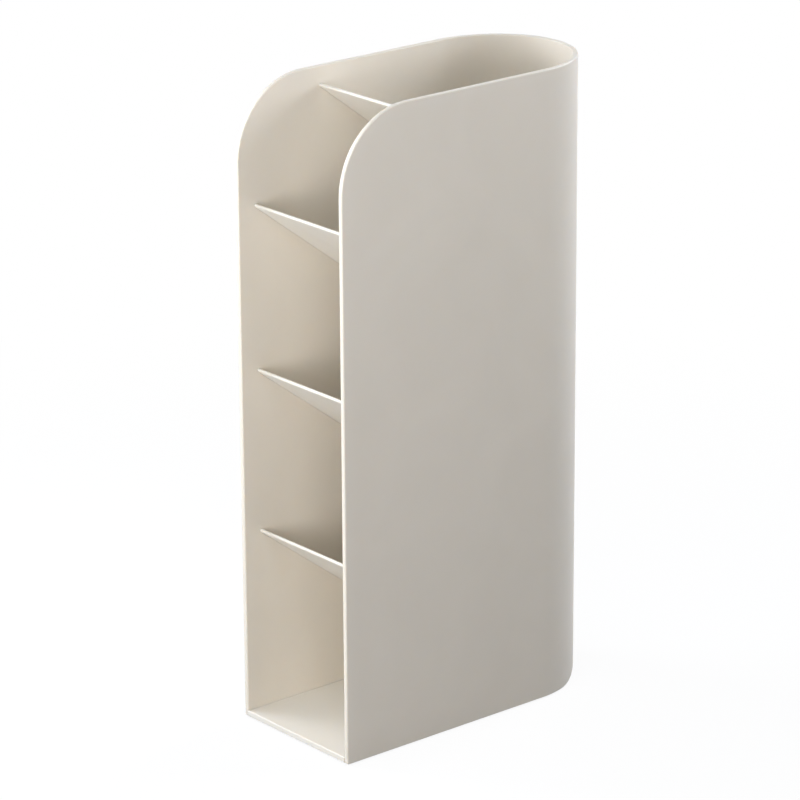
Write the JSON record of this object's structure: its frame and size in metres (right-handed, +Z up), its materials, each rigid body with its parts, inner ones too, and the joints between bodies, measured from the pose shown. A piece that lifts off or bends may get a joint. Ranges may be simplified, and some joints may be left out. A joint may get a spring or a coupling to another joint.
{
  "type": "organizer box",
  "caption": "Upright desk organizer box with an open front, a round back, a rounded top corner and slanted compartments for pens and small stationery.",
  "frame": {"origin": "under the middle of the box's outline, on the surface that its foot pads stand on", "axes": "+Z up, -Y out of the open front, +Y towards the round back, +X from one flat side wall to the other"},
  "size_m": [0.0756, 0.16, 0.3053],
  "materials": {
    "shell_plastic": "fine satin, warm white, slightly translucent at thin edges",
    "base_plastic": "fine satin, warm white",
    "divider_plastic": "fine satin, warm white",
    "pad_rubber": "soft, matt"
  },
  "bodies": {
    "root": {"wall_shell": "shell_plastic", "base_panel": "base_plastic", "divider_1": "divider_plastic", "divider_2": "divider_plastic", "divider_3": "divider_plastic", "divider_4": "divider_plastic", "foot_pad_front_left": "pad_rubber", "foot_pad_front_right": "pad_rubber", "foot_pad_rear_left": "pad_rubber", "foot_pad_rear_right": "pad_rubber"}
  },
  "joints": []
}
